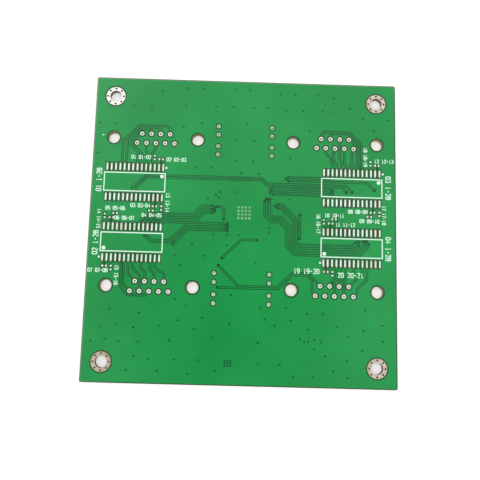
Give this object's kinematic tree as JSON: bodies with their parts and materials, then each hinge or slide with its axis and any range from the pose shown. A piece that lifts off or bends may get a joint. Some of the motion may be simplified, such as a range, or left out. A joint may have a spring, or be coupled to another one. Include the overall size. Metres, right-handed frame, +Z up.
{
  "type": "bare printed circuit board",
  "caption": "Bare square printed circuit board with a green solder mask, laid out for nine-pin serial ports, surface-mount driver chips and indicator lamps, with plated mounting holes",
  "frame": {"origin": "Centre of the board's square outline, at the height of the lands on its underside, on which it rests.", "axes": "+Z points up out of the side with the ports' footprints and the legend, +X runs along the port rows to the right and +Y to the edge nearer the upper pair of ports."},
  "size_m": [0.09, 0.09, 0.0018],
  "materials": {
    "laminate": "glass-epoxy laminate, matte sawn edge",
    "copper": "copper foil under the mask",
    "solder_mask": "glossy green solder mask",
    "tinned_copper": "levelled solder, dull silver",
    "ink": "white screen-printed ink"
  },
  "bodies": {
    "root": {"laminate": "laminate", "ground_pour": "copper", "solder_mask_top": "solder_mask", "solder_mask_bottom": "solder_mask", "driver_bus": "copper", "heat_pad_bus": "copper", "left_bus": "copper", "right_upper_bus": "copper", "right_lower_bus": "copper", "signal_line": "copper", "stitching_vias": "copper", "signal_vias": "copper", "heat_vias": "tinned_copper", "fan_out_1": "copper", "fan_out_2": "copper", "fan_out_3": "copper", "fan_out_4": "copper", "driver_pads_1": "tinned_copper", "driver_pads_2": "tinned_copper", "driver_pads_3": "tinned_copper", "driver_pads_4": "tinned_copper", "capacitor_lands_1": "tinned_copper", "capacitor_lands_2": "tinned_copper", "capacitor_lands_3": "tinned_copper", "capacitor_lands_4": "tinned_copper", "port_pins_1": "tinned_copper", "port_pins_2": "tinned_copper", "port_pins_3": "tinned_copper", "port_pins_4": "tinned_copper", "lamp_leads_1": "tinned_copper", "lamp_leads_2": "tinned_copper", "lamp_leads_3": "tinned_copper", "lamp_leads_4": "tinned_copper", "mount_land_1": "tinned_copper", "mount_land_2": "tinned_copper", "mount_land_3": "tinned_copper", "mount_land_4": "tinned_copper", "driver_outline_1": "ink", "driver_outline_2": "ink", "driver_outline_3": "ink", "driver_outline_4": "ink"}
  },
  "joints": []
}
